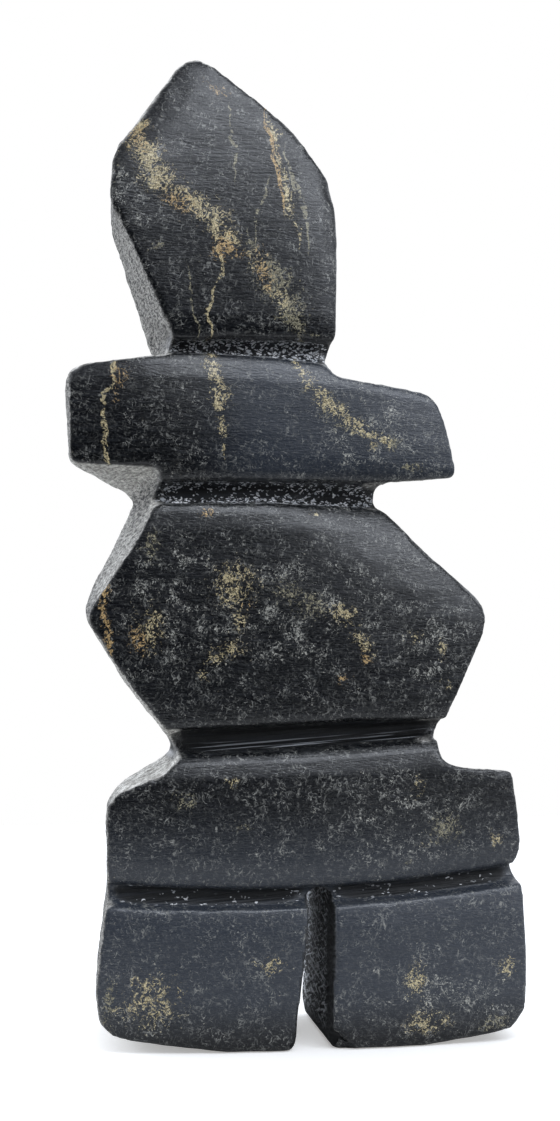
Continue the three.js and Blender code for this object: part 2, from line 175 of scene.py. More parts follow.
world = bpy.data.worlds.new("light_tent")
bpy.context.scene.world = world
world.use_nodes = True
sky = world.node_tree
sky.nodes.clear()
direction = add_node(sky, "SeparateXYZ", {0: add_node(sky, "TexCoord").outputs["Generated"]}).outputs
over_line = add_node(sky, "Math", {0: direction["X"], 1: BAND_TILT, 2: direction["Z"]},
                     operation="MULTIPLY_ADD")
to_right = add_node(sky, "MapRange", {"Value": direction["X"], "From Min": 0.0, "From Max": RIGHT_REACH,
                                      "To Min": BAND, "To Max": RIGHT_SHARE * BAND})
in_band = add_node(sky, "MapRange", {"Value": over_line, "From Min": BAND_START[0],
                                     "From Max": BAND_START[1]}, interpolation_type="SMOOTHSTEP")
band = add_node(sky, "Mix", {0: in_band, 2: DARK_FRONT, 3: to_right})
above_band = add_node(sky, "MapRange", {"Value": direction["Z"], "From Min": BAND_END[0],
                                        "From Max": BAND_END[1]}, interpolation_type="SMOOTHSTEP")
in_front = add_node(sky, "Mix", {0: above_band, 2: band, 3: OVERHEAD})
print("brightness low in front, in the band and overhead:", DARK_FRONT, BAND, OVERHEAD)

# %% Add the backdrop and the dark under the table
BACKDROP, BACKDROP_START = 1.3, (-0.1, 0.4)
UNDER_TABLE, TABLE_EDGE = 0.03, -0.06
DAYLIGHT = (0.93, 0.98, 1.07)

behind = add_node(sky, "MapRange", {"Value": direction["Y"], "From Min": BACKDROP_START[0],
                                    "From Max": BACKDROP_START[1]}, interpolation_type="SMOOTHSTEP")
brightness = add_node(sky, "Mix", {0: behind, 2: in_front, 3: BACKDROP})
below_us = add_node(sky, "MapRange", {"Value": direction["Z"], "From Min": TABLE_EDGE, "From Max": 0.0,
                                      "To Min": UNDER_TABLE, "To Max": 1.0})
brightness = add_node(sky, "Math", {0: brightness, 1: below_us}, operation="MULTIPLY")
seen_by_camera = add_node(sky, "LightPath").outputs["Is Camera Ray"]
seen_white = add_node(sky, "Mix", {0: seen_by_camera, 2: brightness, 3: 1.0})
tint = add_node(sky, "Mix", {0: seen_by_camera, 6: DAYLIGHT + (1,), 7: (1, 1, 1, 1)}, data_type="RGBA")
glow = add_node(sky, "Background", {"Color": tint.outputs[2], "Strength": seen_white})
add_node(sky, "OutputWorld", {"Surface": glow})
bpy.context.scene.view_settings.view_transform = "Standard"
print("brightness behind and under the table:", BACKDROP, UNDER_TABLE)

# %% Hang three softboxes
# Each has a name, a place, a point that it looks at, its width and height, and its brightness.
SOFTBOXES = [
    ("softbox_above", (0.04, -0.22, 0.34), (0, 0, 0.09), 0.22, 0.20, 3.9),
    ("softbox_right_front", (0.25, -0.25, 0.30), (0, 0, 0.07), 0.16, 0.16, 4.6),
    ("softbox_left_back", (-0.30, 0.12, 0.15), (0, 0, 0.07), 0.20, 0.20, 4.0),
]


def hang_softbox(name, place, aim, wide, high, brightness):
    """A soft oblong lamp, as bright as so many times white paper, that the camera doesn't see."""
    lamp = bpy.data.lights.new(name, "AREA")
    lamp.shape = "RECTANGLE"
    lamp.size, lamp.size_y = wide, high
    lamp.energy = brightness * math.pi * wide * high
    lamp.color = DAYLIGHT
    box = bpy.data.objects.new(name, lamp)
    box.location = place
    box.rotation_euler = (Vector(aim) - Vector(place)).to_track_quat("-Z", "Y").to_euler()
    box.visible_camera = False
    bpy.context.scene.collection.objects.link(box)


for softbox in SOFTBOXES:
    hang_softbox(*softbox)
print("softboxes:", [name for name, *_ in SOFTBOXES])

# %% [markdown]
# ## A finer skin for the stone
# The solid has long flat triangles, which are right for its size but can't hold worn edges or chips.
# A voxel remesh lays an even net of small squares over it. Subdividing would keep the long triangles,
# and sculpting by hand can't be repeated by a script.

# %% Remesh a copy of the solid
NET = 0.36 * MM
carving = bpy.data.objects.new("carved_inukshuk", solid.data.copy())
bpy.context.scene.collection.objects.link(carving)
net = carving.modifiers.new("net", "REMESH")
net.mode = "VOXEL"
net.voxel_size = NET
bpy.context.view_layer.update()
skin = bpy.data.meshes.new_from_object(carving.evaluated_get(bpy.context.evaluated_depsgraph_get()))
carving.modifiers.clear()
carving.data = skin
skin.materials.clear()
skin.polygons.foreach_set("use_smooth", [True] * len(skin.polygons))
print("faces of the net:", len(skin.polygons))

# %% Read and write the net as arrays
count = len(skin.vertices)
ends = np.empty(len(skin.edges) * 2, np.int32)
skin.edges.foreach_get("vertices", ends)
ends = ends.reshape(-1, 2)
first = np.concatenate([ends[:, 0], ends[:, 1]])
second = np.concatenate([ends[:, 1], ends[:, 0]])
neighbours = np.bincount(first, minlength=count)


def read_net(what):
    """The places or the outward directions of all points of the net, one row each."""
    values = np.empty(count * 3, np.float32)
    skin.vertices.foreach_get(what, values)
    return values.reshape(-1, 3).astype(float)


def write_net(places):
    """Moves all points of the net to new places."""
    skin.vertices.foreach_set("co", places.astype(np.float32).ravel())
    skin.update()


print("points of the net:", count)

# %% Write helpers that even values out


def around(values):
    """For each point, the mean of its neighbours' values."""
    columns = [np.bincount(first, values[second, i], count) / neighbours for i in range(values.shape[1])]
    return np.stack(columns, 1)


def soften(values, times, share=0.5):
    """Evens values out over the net; share is one number or one for each point."""
    for _ in range(times):
        values = values + (around(values) - values) * share
    return values


def rounds(reach):
    """How many rounds of softening spread a value over so many metres of the net."""
    return max(1, round(4 * (reach / NET) ** 2))


def smooth_step(low, high, value):
    """Rises from 0 to 1 without a kink while the value goes from low to high."""
    t = np.clip((value - low) / (high - low), 0, 1)
    return t * t * (3 - 2 * t)


print("rounds that spread a value by 1 mm:", rounds(1 * MM))

# %% [markdown]
# ## Worn edges
# Sanding and handling rub the edges of the stone round, most at the head's shoulders and the outer
# corners of the feet. The net is evened out a little everywhere and more at those places. A bevel would
# need clean edges to follow, which a filed stone doesn't have.

# %% Rub the edges round
# Each rubbed place is noted across, down and in reach, in pixels of the photograph.
RUBBED = [(146, 112, 42), (100, 1020, 24), (520, 1020, 14), (70, 364, 16), (328, 190, 14)]
WORN_EVERYWHERE, WORN_MOST = 0.18 * MM, 1.1 * MM
SOLE_WORN, SOLE_HEIGHTS = 0.7, (0.8, 2.2)
# The shares of its reach between which rubbing fades out.
RUB_FADE = (0.4, 1.0)

places = read_net("co")
rub = np.zeros(count)
for across, down, reach in RUBBED:
    x, z = on_front(across, down)
    gap = np.hypot(places[:, 0] - x, places[:, 2] - z)
    rub = np.maximum(rub, 1 - smooth_step(*RUB_FADE, gap / (reach * PIXEL)))
rub = np.maximum(rub, SOLE_WORN * (1 - smooth_step(*SOLE_HEIGHTS, places[:, 2] / MM)))
places = soften(places, rounds(WORN_EVERYWHERE))
places = soften(places, rounds(WORN_MOST), 0.5 * rub[:, None])
write_net(places)
print("points rubbed rounder:", int((rub > 0.1).sum()))

# %% [markdown]
# ## How hollow or sharp each place is
# Grooves keep file marks and are darkened with painted shade, and edges lose the marks. Evening the net
# out a lot and looking at which side it moves tells hollows from edges. Which way each place faces tells
# the dressed faces from the sides that were only sawn. The results are stored on the mesh for the finish to
# read.

# %% Measure hollows and edges
BROAD, NARROW, NEARBY = 1.9 * MM, 0.55 * MM, 0.4 * MM
outward = read_net("normal")
x_mm, y_mm, z_mm = (places / MM).T
hollow = ((soften(places, rounds(BROAD)) - places) * outward).sum(1) / MM
edge = -((soften(places, rounds(NARROW)) - places) * outward).sum(1) / MM
facing, nearly = soften(outward, rounds(BROAD)), soften(outward, rounds(NEARBY))
facing /= np.linalg.norm(facing, axis=1, keepdims=True)
print("hollow, mm:", hollow.min().round(2), hollow.max().round(2), "sharpest edge, mm:", edge.max().round(3))

# %% Find the walls of the slit and the sides that were only sawn
SLIT_MIDDLE, SLIT_REACH, SLIT_TOP = 1.6, 3.6, 21.0
# Shares of the direction that a place faces, from where they begin to count to where they count in full.
SLIT_WALL, TO_SIDE, TO_FRONT, CLOSE_TO_FRONT = (0.3, 0.7), (0.45, 0.70), (0.50, 0.68), (0.35, 0.60)
# Nothing is sawn between the ends of a groove: left, right, top and bottom, in pixels of the photograph.
GROOVES = [(172, 323, 325, 366), (160, 370, 468, 512), (181, 424, 708, 768), (116, 516, 876, 918)]
RIM_FADE, END_FADE = 0.6, 0.5

in_slit = (np.abs(x_mm - SLIT_MIDDLE) < SLIT_REACH) * (z_mm < SLIT_TOP)
slit = smooth_step(*SLIT_WALL, np.abs(outward[:, 0])) * in_slit
turned = np.maximum(1 - smooth_step(*TO_FRONT, np.abs(facing[:, 1])),
                    smooth_step(*TO_SIDE, np.abs(nearly[:, 0])))
sawn = (1 - smooth_step(*CLOSE_TO_FRONT, np.abs(nearly[:, 1]))) * turned
for left, right, top, bottom in GROOVES:
    (x_left, z_low), (x_right, z_high) = on_front(left, bottom), on_front(right, top)
    level_with = smooth_step(-RIM_FADE, 0, z_mm - z_low / MM) * smooth_step(-RIM_FADE, 0, z_high / MM - z_mm)
    past_left = smooth_step(-END_FADE, END_FADE, x_mm - x_left / MM)
    before_right = smooth_step(-END_FADE, END_FADE, x_right / MM - x_mm)
    sawn = sawn * (1 - level_with * past_left * before_right)
print("points on sawn sides and in the slit:", int((sawn > 0.5).sum()), int((slit > 0.5).sum()))

# %% Tell how rough the sawn sides are and where ledges get painted light
# The right sides were gone over with a file, so they are less rough, and the soles were sanded.
RIGHT_ROUGH, SOLE_SANDED = 0.35, (0.8, 2.5)
# Ledges that face up or down get painted light, a near-white tone as if brightly lit, more at the left, where
# the light comes from, than at the right.
LEDGE_LIGHT_LOST, LEDGE_LIGHT_START = 0.7, (1.5, 3.5)

rough_side = sawn * (1 - slit) * np.where(facing[:, 0] < 0.2, 1.0, RIGHT_ROUGH)
rough_side = rough_side * smooth_step(*SOLE_SANDED, z_mm)
painted_ledge_light = sawn * (1 - slit) * smooth_step(0.25, 0.75, np.abs(facing[:, 2])) * (facing[:, 0] < 0.35)
painted_ledge_light *= (1 - LEDGE_LIGHT_LOST * smooth_step(-5, 5, x_mm)) * smooth_step(*LEDGE_LIGHT_START, z_mm)
print("points that are rough and that are chalky:", int((rough_side > 0.5).sum()), int((painted_ledge_light > 0.5).sum()))

# %% Find the grooves and where their grains get painted glints
# How many painted glints the lower lips and the insides of the grooves get, at some heights in mm.
LIP_HEIGHTS = [0, 14, 20, 30, 36, 50, 66, 73, 82, 92, 99]
LIP_GLINTS = [0.03, 0.03, 0.05, 0.05, 0.0, 0.0, 0.7, 0.95, 0.8, 1.0, 0.9]
INSIDE_HEIGHTS = [14, 20, 30, 36, 66, 73, 82, 92]
INSIDE_GLINTS = [0.09, 0.09, 0.0, 0.0, 0.0, 0.46, 0.50, 1.60]
LIP_WIDE, GLINT_WIDE, FILE_SHINE_GAIN = 0.6 * MM, 0.9 * MM, 1.4
# A groove is hollow by so many mm and lies in a face that looks to the front or the back.
GROOVE_HOLLOW, DRESSED_FACE, LOOKS_UP = (0.12, 0.40), (0.25, 0.6), (0.1, 0.5)
WAIST_FOOT, WAIST_TOP = (33, 38), (46, 52)
# Lips that look up, toward the light, get more painted glints than others, and the near surroundings count
# almost as the groove.
ANY_LIP, UPPER_LIP, NEAR_GAIN = 0.5, 0.8, 1.8

rising = smooth_step(*LOOKS_UP, outward[:, 2])
groove = smooth_step(*GROOVE_HOLLOW, hollow) * smooth_step(*DRESSED_FACE, np.abs(facing[:, 1]))
border = soften(groove[:, None], rounds(LIP_WIDE))[:, 0]
near_groove = np.clip(NEAR_GAIN * soften(groove[:, None], rounds(GLINT_WIDE))[:, 0], 0, 1)
lip_glints = 4 * border * (1 - border) * (ANY_LIP + UPPER_LIP * rising)
lip_glints = lip_glints * np.interp(z_mm, LIP_HEIGHTS, LIP_GLINTS)
painted_glints = np.minimum(lip_glints + near_groove * np.interp(z_mm, INSIDE_HEIGHTS, INSIDE_GLINTS), 1.0)
in_waist = smooth_step(*WAIST_FOOT, z_mm) * (1 - smooth_step(*WAIST_TOP, z_mm))
# Painted highlight: pale file lines go only where the waist groove's lower wall faces up, toward the light.
painted_file_shine = FILE_SHINE_GAIN * border * rising * in_waist * groove
print("points in grooves and where stone is torn:", int((groove > 0.5).sum()), int((painted_glints > 0.3).sum()))

# %% [markdown]
# ## Hand work
# No face of a filed stone is flat. The faces get a slow unevenness, the sawn sides a coarser one, and
# edges small nicks. The forms come from noise that is read at each point of the net, so that they are
# real relief and show from every side.

# %% Push the net in and out
SLOW_WAVE, ROUGH_WAVE, NICK_WAVE = 11 * MM, 2.2 * MM, 3.0 * MM
SLOW_DEEP, ROUGH_DEEP, NICK_DEEP = 0.13, 0.16, 0.22
# Nicks sit on edges that are sharp by so many mm, where the waves rise this high.
SHARP, NICK_RISE = (0.04, 0.16), (0.25, 0.6)
# The soles stay flat, up to these heights in mm.
FLAT_SOLE = (0.2, 1.0)
# Each chip is noted across, down and in reach, in pixels of the photograph, and in depth, in mm.
CHIPS = [(334, 1044, 16, 1.6), (346, 1050, 12, 1.0), (296, 1050, 9, 0.9), (333, 905, 7, 0.4),
         (72, 466, 8, 0.4), (108, 866, 6, 0.3)]
CHIP_FADE = (0.3, 1.0)


def waves(places, length, octaves):
    """Smooth noise between about -1 and 1 at each place; length is the size of its largest waves."""
    return np.array([noise.fractal(Vector(p) / length, 0.9, 2.1, octaves) for p in places])


uneven = SLOW_DEEP * waves(places, SLOW_WAVE, 3)
rough = ROUGH_DEEP * np.maximum(rough_side, 0.5 * slit) * waves(places + 0.05, ROUGH_WAVE, 3)
nicked = smooth_step(*NICK_RISE, waves(places - 0.07, NICK_WAVE, 2))
nicks = -NICK_DEEP * smooth_step(*SHARP, edge) * nicked
on_ground = 1 - smooth_step(*FLAT_SOLE, places[:, 2] / MM)
chips = np.zeros(count)
for across, down, reach, deep in CHIPS:
    x, z = on_front(across, down)
    gap = np.sqrt((places[:, 0] - x) ** 2 + (places[:, 1] - FRONT) ** 2 + (places[:, 2] - z) ** 2)
    chips -= deep * (1 - smooth_step(*CHIP_FADE, gap / (reach * PIXEL)))
push = (uneven + rough + nicks) * (1 - on_ground) * MM
push = push + chips * MM
places = places + outward * push[:, None]
places[:, 2] = np.maximum(places[:, 2], 0)
write_net(places)
print("relief, mm:", (push.min() / MM).round(2), (push.max() / MM).round(2))

# %% [markdown]
# ## Pale minerals in the stone
# Pockets of paler mineral show where the carver cut into them. Each is noted by its place in the
# photograph, half its width and height there, and its tilt in degrees. Inside the stone it is a flattened
# lump, so that a pocket near an edge shows round the corner too. How strongly the mineral shows is
# stored on the mesh.

# %% Note the pockets
POCKETS = {
    "ash": [
        (125, 165, 40, 60, 0), (450, 1000, 70, 40, 0), (140, 1000, 40, 34, 0), (180, 560, 30, 20, 0),
        (188, 394, 12, 20, 0), (290, 610, 110, 60, 0), (170, 600, 50, 60, 0), (430, 640, 50, 50, 0),
        (370, 430, 60, 40, 0), (420, 820, 60, 40, 0),
    ],
    "tan": [
        (141, 130, 14, 20, 0), (178, 196, 22, 12, 38), (224, 244, 12, 16, 20), (238, 252, 12, 6, 0),
        (120, 374, 9, 12, 0), (139, 640, 10, 16, -10), (246, 604, 5, 6, 10), (208, 512, 8, 5, 0),
        (366, 656, 5, 12, -24), (326, 979, 4, 6, 0), (346, 680, 7, 6, 0), (222, 84, 18, 6, 35),
        (264, 268, 9, 24, -20), (280, 150, 3, 12, -10), (117, 395, 4, 8, 0),
    ],
    "cream": [
        (363, 645, 9, 22, -24), (222, 222, 16, 14, 0), (284, 300, 12, 16, -20), (221, 393, 13, 14, -20),
        (225, 652, 25, 9, -20), (236, 586, 24, 24, 10), (240, 620, 8, 14, 0), (152, 1003, 32, 27, 0),
        (345, 614, 16, 12, 10), (150, 628, 16, 26, 0), (202, 674, 6, 10, 0), (418, 637, 9, 9, 0),
        (446, 650, 6, 13, 0), (315, 514, 5, 5, 0), (232, 783, 7, 6, 0), (421, 789, 6, 12, 0),
        (500, 842, 7, 11, 0), (426, 846, 5, 5, 0), (274, 966, 13, 8, -30), (254, 963, 5, 4, 0),
        (416, 980, 12, 20, 0), (430, 1023, 25, 13, 0), (512, 968, 13, 13, 0), (374, 444, 9, 7, 0),
        (281, 127, 8, 5, 40), (452, 686, 5, 8, 0),
    ],
    "olive": [
        (112, 150, 12, 30, 0), (105, 1030, 8, 12, 0), (278, 285, 14, 32, -22), (153, 545, 12, 17, 0),
        (241, 827, 14, 5, 0), (182, 802, 16, 10, 0), (448, 830, 20, 18, 0), (157, 244, 9, 6, 0),
        (315, 334, 7, 4, 0), (411, 864, 4, 4, 0), (497, 1026, 20, 7, -15), (112, 1002, 8, 20, 0),
        (300, 600, 34, 16, 25), (415, 466, 14, 5, 0),
    ],
}
print("pockets noted:", sum(len(p) for p in POCKETS.values()))

# %% Spread each pocket into the stone
POCKET_DEPTH, FADE = 6 * MM, 0.9
showing = np.zeros((count, len(POCKETS)))
for column, pockets in enumerate(POCKETS.values()):
    for across, down, half_wide, half_high, tilt in pockets:
        x, z = on_front(across, down)
        gap_x, gap_z = (places[:, 0] - x) / PIXEL, -(places[:, 2] - z) / PIXEL
        turn = math.radians(tilt)
        along = (gap_x * math.cos(turn) + gap_z * math.sin(turn)) / half_wide
        over = (-gap_x * math.sin(turn) + gap_z * math.cos(turn)) / half_high
        inward = (places[:, 1] - FRONT) / POCKET_DEPTH
        lump = np.exp(-FADE * (along**2 + over**2 + inward**2))
        showing[:, column] = np.maximum(showing[:, column], lump)
print("points in each kind of pocket:", dict(zip(POCKETS, (showing > 0.5).sum(0).tolist())))

# %% Store the measures on the mesh
# A painted sheen lies on the legs and on the middle and right of the arm stone, between these heights in mm.
# It stands in for the light that these faces catch from the floor and from the right, and it fades out at
# the foot, which leaves painted shade there.
LEG_FOOT, LEG_TOP = (1, 8), (19, 34)
ARM_FOOT, ARM_TOP, ARM_LEFT, ARM_SHEEN = (74, 77), (89, 93), (-16, -4), 0.9
painted_sheen = (1 - smooth_step(*LEG_TOP, z_mm)) * smooth_step(*LEG_FOOT, z_mm)
on_arm = smooth_step(*ARM_FOOT, z_mm) * (1 - smooth_step(*ARM_TOP, z_mm)) * smooth_step(*ARM_LEFT, x_mm)
painted_sheen += ARM_SHEEN * on_arm
# How plainly the saw's marks show in the slit at some depths in mm, from front to back.
SAW_DEPTHS, SAW_SHOWS = [-12, -8, -6, 7, 11], [0.05, 0.05, 0.9, 0.9, 1.5]
saw_marks = smooth_step(1, 4, z_mm) * np.interp(y_mm, SAW_DEPTHS, SAW_SHOWS)

stored = {"groove": groove, "slit": slit, "rough_side": rough_side, "painted_ledge_light": painted_ledge_light, "painted_glints": painted_glints,
          "painted_file_shine": painted_file_shine, **dict(zip(POCKETS, showing.T)), "painted_sheen": painted_sheen, "saw_marks": saw_marks}
for name, values in stored.items():
    skin.attributes.new(name, "FLOAT", "POINT").data.foreach_set("value", values.astype(np.float32))
print("measures stored:", [a.name for a in skin.attributes if a.data_type == "FLOAT"])

# %% [markdown]
# ## A lighter mesh
# The even net has more triangles than its flat faces need. Thinning removes points where the surface hardly
# bends and leaves the lips, chips and edges fine. The stored measures are carried along. A coarser net
# from the start would have lost the small forms.

# %% Thin the net out where it is flat
MOST_TRIANGLES = 190_000
thin = carving.modifiers.new("thin", "DECIMATE")
thin.ratio = min(1.0, MOST_TRIANGLES / (2 * len(skin.polygons)))
skin = bpy.data.meshes.new_from_object(carving.evaluated_get(bpy.context.evaluated_depsgraph_get()))
carving.modifiers.clear()
carving.data = skin
skin.polygons.foreach_set("use_smooth", [True] * len(skin.polygons))
print("triangles:", sum(len(p.vertices) - 2 for p in skin.polygons))

# %% [markdown]
# ## The stone: dark serpentine, filed, sanded and waxed
# Serpentine is a soft dark stone, nearly black when it is waxed. Sanding leaves fine level scratches
# that break its gloss into a satin sheen. Where it was only sawn it stays rough and looks paler. Its IOR
# is about 1.56. The material is built up in layers: ground colour, scratches, threads, pockets and veins,
# then the rough places and the grooves, and last the gloss and the fine relief.

# %% Start the material and its measures
SERPENTINE_IOR = 1.56
stone = bpy.data.materials.new("serpentine_filed_sanded_waxed")
stone.use_nodes = True
tree = stone.node_tree
shader = tree.nodes["Principled BSDF"]
shader.inputs["IOR"].default_value = SERPENTINE_IOR
place_mm = add_node(tree, "VectorMath", {0: add_node(tree, "TexCoord").outputs["Object"],
                                         1: (1 / MM, 1 / MM, 1 / MM)}, operation="MULTIPLY")
measure = {name: add_node(tree, "Attribute", attribute_name=name).outputs["Fac"] for name in stored}
print("measures that the finish reads:", list(measure))

# %% Draw the noises of the ground
# The sizes in mm of slow clouds, mottling, single grains and the finest grains.
CLOUD, MOTTLE, GRAIN, FINE = 16.0, 2.2, 0.45, 0.27
clouds = add_node(tree, "TexNoise", {"Vector": place_mm, "Scale": 1 / CLOUD, "Detail": 3})
mottle = add_node(tree, "TexNoise", {"Vector": place_mm, "Scale": 1 / MOTTLE, "Detail": 5, "Roughness": 0.6})
grain = add_node(tree, "TexNoise", {"Vector": place_mm, "Scale": 1 / GRAIN, "Detail": 2, "Roughness": 0.6})
fine_grain = add_node(tree, "TexNoise", {"Vector": place_mm, "Scale": 1 / FINE, "Detail": 2,
                                         "Roughness": 0.7, "Distortion": 1.5})
print("clouds, mottling and grain, mm:", CLOUD, MOTTLE, GRAIN, FINE)

# %% Mix the ground colour
# Painted sheen: where its measure lies, a bluish grey haze and more pale grains lighten the ground, in place
# of light that the legs and the arm stone catch.
SHEEN_SHOWS, SHEEN_GRAINS = 0.68, 0.085
cloudy = add_node(tree, "MapRange", {"Value": clouds, "From Min": 0.35, "From Max": 0.65})
mottled = add_node(tree, "MapRange", {"Value": mottle, "From Min": 0.42, "From Max": 0.7})
sheen_grain = add_node(tree, "Math", {0: measure["painted_sheen"], 1: SHEEN_GRAINS, 2: fine_grain},
                       operation="MULTIPLY_ADD")
grainy = add_node(tree, "MapRange", {"Value": sheen_grain, "From Min": 0.60, "From Max": 0.74, "To Max": 0.8})
sheen_amount = add_node(tree, "Math", {0: measure["painted_sheen"], 1: SHEEN_SHOWS}, operation="MULTIPLY")
surface = add_node(tree, "Mix", {0: cloudy, 6: from_hex("#030508"), 7: from_hex("#07090e")},
                   data_type="RGBA").outputs[2]
for amount, tone in ((mottled, "#0a0c11"), (grainy, "#585a5c"), (sheen_amount, "#3b414b")):
    surface = add_node(tree, "Mix", {0: amount, 6: surface, 7: from_hex(tone)}, data_type="RGBA").outputs[2]
print("the darkest ground in linear light:", [round(v, 4) for v in from_hex("#030508")[:3]])

# %% [markdown]
# ## Sanding scratches and file marks
# Sandpaper of about 120 grit was drawn from side to side, and leaves scratches about 0.1 mm apart. That
# is too fine for the picture, so they are drawn 0.25 mm apart. A noise that is squeezed in height
# and drawn out along the stone gives such lines on every upright face. The file left coarser level
# ridges in the grooves, 0.5 mm apart, and the saw left crossing slanted ones on the walls of the slit.

# %% Draw the scratches
SCRATCH_LONG, SCRATCH_APART, FILE_LONG, FILE_APART = 6.0, 0.25, 16.0, 0.50
SAW_LONG, SAW_APART, SAW_LEANS = 4.0, 0.50, (14, -12)


def drawn_lines(turn, long, apart, detail, lean=0, space=place_mm):
    """Noise drawn out into lines, turned in the front plane and leaning in a side plane, in degrees."""
    angles = (math.radians(lean), math.radians(turn), 0)
    laid = add_node(tree, "Mapping", {"Vector": space, "Rotation": angles}, vector_type="POINT")
    drawn = add_node(tree, "VectorMath", {0: laid, 1: (1 / long, 1 / long, 1 / apart)}, operation="MULTIPLY")
    return add_node(tree, "TexNoise", {"Vector": drawn, "Scale": 1.0, "Detail": detail, "Roughness": 0.6})


level = drawn_lines(3, SCRATCH_LONG, SCRATCH_APART, 2)
slanted = drawn_lines(-14, SCRATCH_LONG * 0.6, SCRATCH_APART, 2)
filed = drawn_lines(4, FILE_LONG, FILE_APART, 3)
one_way, other_way = [drawn_lines(0, SAW_LONG, SAW_APART, 1, lean=lean) for lean in SAW_LEANS]
sawed = add_node(tree, "Math", {0: one_way, 1: other_way}, operation="MAXIMUM")
lined = add_node(tree, "Mix", {0: mottle, 2: level, 3: slanted})
pale_lines = add_node(tree, "MapRange", {"Value": lined, "From Min": 0.53, "From Max": 0.70, "To Max": 0.5})
surface = add_node(tree, "Mix", {0: pale_lines, 6: surface, 7: from_hex("#33363b")},
                   data_type="RGBA").outputs[2]
print("scratches, file marks and saw marks, mm apart:", SCRATCH_APART, FILE_APART, SAW_APART)

# %% [markdown]
# ## Threads and specks
# Up close the whole stone is crossed by hair-thin crooked threads of grey mineral. The lines where a
# noise passes through its middle value wander just so, and a slower noise breaks them into short bits.
# Straight hairs in three directions lie among them. They are about 0.1 mm thick on the stone and are drawn
# 0.2 mm thick, or the picture would blur them to grey.

# %% Bend and shake space so that lines wander
# Waves of 2.6 mm bend a line by up to 1 mm, mostly half of that. Waves of 0.7 mm shake it half as far.
SWAY_WAVE, SWAY, SHAKE_WAVE, SHAKE = 2.6, 2.0, 0.7, 1.1
CENTRE = (0.5, 0.5, 0.5)
sway = add_node(tree, "TexNoise", {"Vector": place_mm, "Scale": 1 / SWAY_WAVE, "Detail": 3, "Roughness": 0.6})
sway = add_node(tree, "VectorMath", {0: sway.outputs["Color"], 1: CENTRE}, operation="SUBTRACT")
bent = add_node(tree, "VectorMath", {0: sway, 1: (SWAY, SWAY, SWAY), 2: place_mm}, operation="MULTIPLY_ADD")
shake = add_node(tree, "TexNoise", {"Vector": place_mm, "Scale": 1 / SHAKE_WAVE, "Detail": 1})
shake = add_node(tree, "VectorMath", {0: shake.outputs["Color"], 1: CENTRE}, operation="SUBTRACT")
shaken = add_node(tree, "VectorMath", {0: shake, 1: (SHAKE, SHAKE, SHAKE), 2: place_mm},
                  operation="MULTIPLY_ADD")
print("waves that bend and shake, mm:", SWAY_WAVE, SHAKE_WAVE)

# %% Draw the threads and the specks
SPECK, THREAD, LACE = 0.40, 0.75, 0.80
THREAD_THICK, LACE_THICK = 0.07, 0.15


def wandering_threads(size, thick, space):
    """Lines about size mm apart, white at their middle, where a noise passes through its middle value."""
    winding = add_node(tree, "TexNoise", {"Vector": space, "Scale": 1 / size, "Detail": 2, "Distortion": 1.0})
    off_line = add_node(tree, "Math", {0: winding, 1: 0.5}, operation="SUBTRACT")
    off_line = add_node(tree, "Math", {0: off_line}, operation="ABSOLUTE")
    return add_node(tree, "MapRange", {"Value": off_line, "From Min": 0.0, "From Max": thick,
                                       "To Min": 1.0, "To Max": 0.0})


specks = add_node(tree, "TexNoise", {"Vector": place_mm, "Scale": 1 / SPECK, "Detail": 2,
                                     "Roughness": 0.65, "Distortion": 0.8})
threads = wandering_threads(THREAD, THREAD_THICK, place_mm)
lace = wandering_threads(LACE, LACE_THICK, bent)
bits = add_node(tree, "MapRange", {"Value": grain, "From Min": 0.52, "From Max": 0.64})
hairs = add_node(tree, "Math", {0: threads, 1: bits}, operation="MULTIPLY")
print("specks, threads and lace, mm:", SPECK, THREAD, LACE)

# %% Lay straight hairs among the threads
HAIR_LONG, HAIR_THICK, HAIR_TURNS, FEWEST_HAIRS = 1.3, 0.20, (62, -20, 100), 0.24
for turn in HAIR_TURNS:
    hair = drawn_lines(turn, HAIR_LONG, HAIR_THICK, 1, space=shaken)
    hair = add_node(tree, "MapRange", {"Value": hair, "From Min": 0.64, "From Max": 0.75})
    hairs = add_node(tree, "Math", {0: hairs, 1: hair}, operation="MAXIMUM")
clusters = add_node(tree, "MapRange", {"Value": mottle, "From Min": 0.44, "From Max": 0.62,
                                       "To Min": FEWEST_HAIRS, "To Max": 1.0})
hair_show = add_node(tree, "Math", {0: hairs, 1: clusters}, operation="MULTIPLY")
surface = add_node(tree, "Mix", {0: hair_show, 6: surface, 7: from_hex("#92928d")},
                   data_type="RGBA").outputs[2]
print("hairs, mm long and thick:", HAIR_LONG, HAIR_THICK)

# %% [markdown]
# ## Veins
# A vein is a crack in the rock that filled with paler mineral. It is a thin sheet, so its line on the
# front goes on over the sides and the back. Each sheet follows a curve of how far across it lies at each
# height, and a second curve of how wide it is. It dips by a share of the depth, so that the lines on
# the back differ from those on the front.

